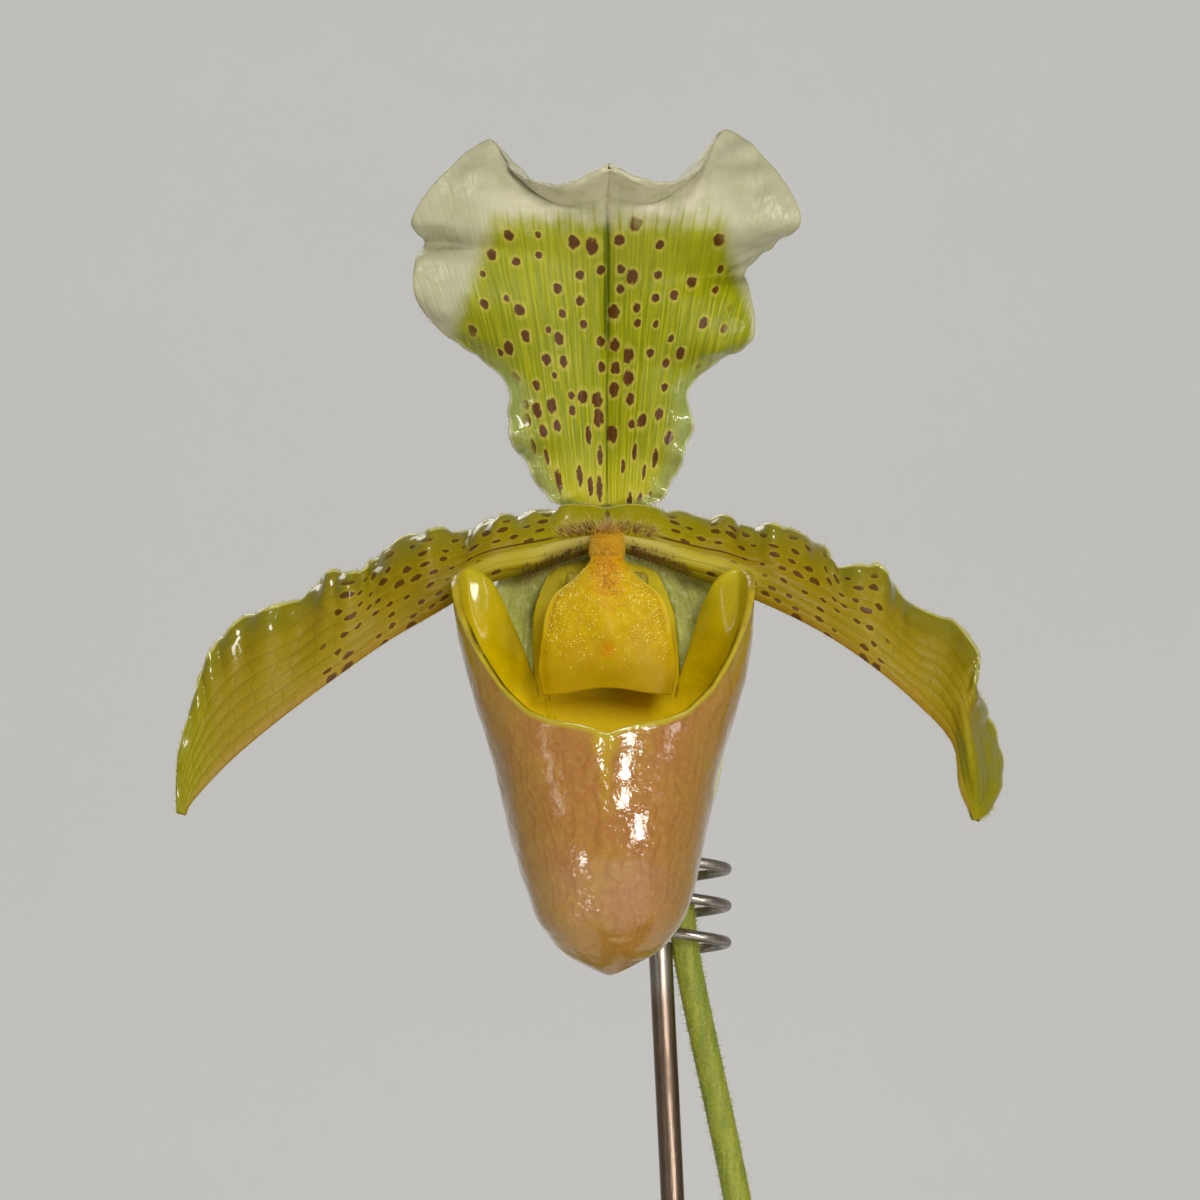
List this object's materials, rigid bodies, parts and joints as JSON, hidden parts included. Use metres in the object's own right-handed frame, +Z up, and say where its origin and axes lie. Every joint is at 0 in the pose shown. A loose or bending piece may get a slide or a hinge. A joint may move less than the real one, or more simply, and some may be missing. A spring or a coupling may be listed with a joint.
{
  "type": "potted paphiopedilum insigne",
  "caption": "Slipper orchid in flower in a clay pot: arching strap leaves, a scape held by a coiled wire stake, a spotted hooded sepal, wavy petals and a pouch-shaped lip.",
  "frame": {"origin": "centre of the pot's underside, on the surface the pot stands on", "axes": "+Z up, the flower faces -Y, +X to the right of someone facing the flower"},
  "size_m": [0.2026, 0.2334, 0.394],
  "materials": {
    "clay": "matte",
    "bark_chips": "matte",
    "leaf": "satin",
    "stem": "matte",
    "steel": "satin",
    "sepal": "satin",
    "pale_green": "matte",
    "petal": "satin",
    "lip": "satin",
    "column": "matte",
    "shield": "satin"
  },
  "bodies": {
    "root": {"pot": "clay", "bark": "bark_chips", "fan1_leaf1": "leaf", "fan1_leaf2": "leaf", "fan1_leaf3": "leaf", "fan1_leaf4": "leaf", "fan1_leaf5": "leaf", "fan1_leaf6": "leaf", "fan2_leaf1": "leaf", "fan2_leaf2": "leaf", "fan2_leaf3": "leaf", "fan2_leaf4": "leaf", "fan2_leaf5": "leaf", "scape": "stem", "stake": "steel", "ovary": "stem", "bract": "pale_green", "dorsal_sepal": "sepal", "synsepal": "pale_green", "petal_left": "petal", "petal_right": "petal", "lip": "lip", "column": "column", "staminode": "shield", "anther_left": "shield", "anther_right": "shield"}
  },
  "joints": []
}
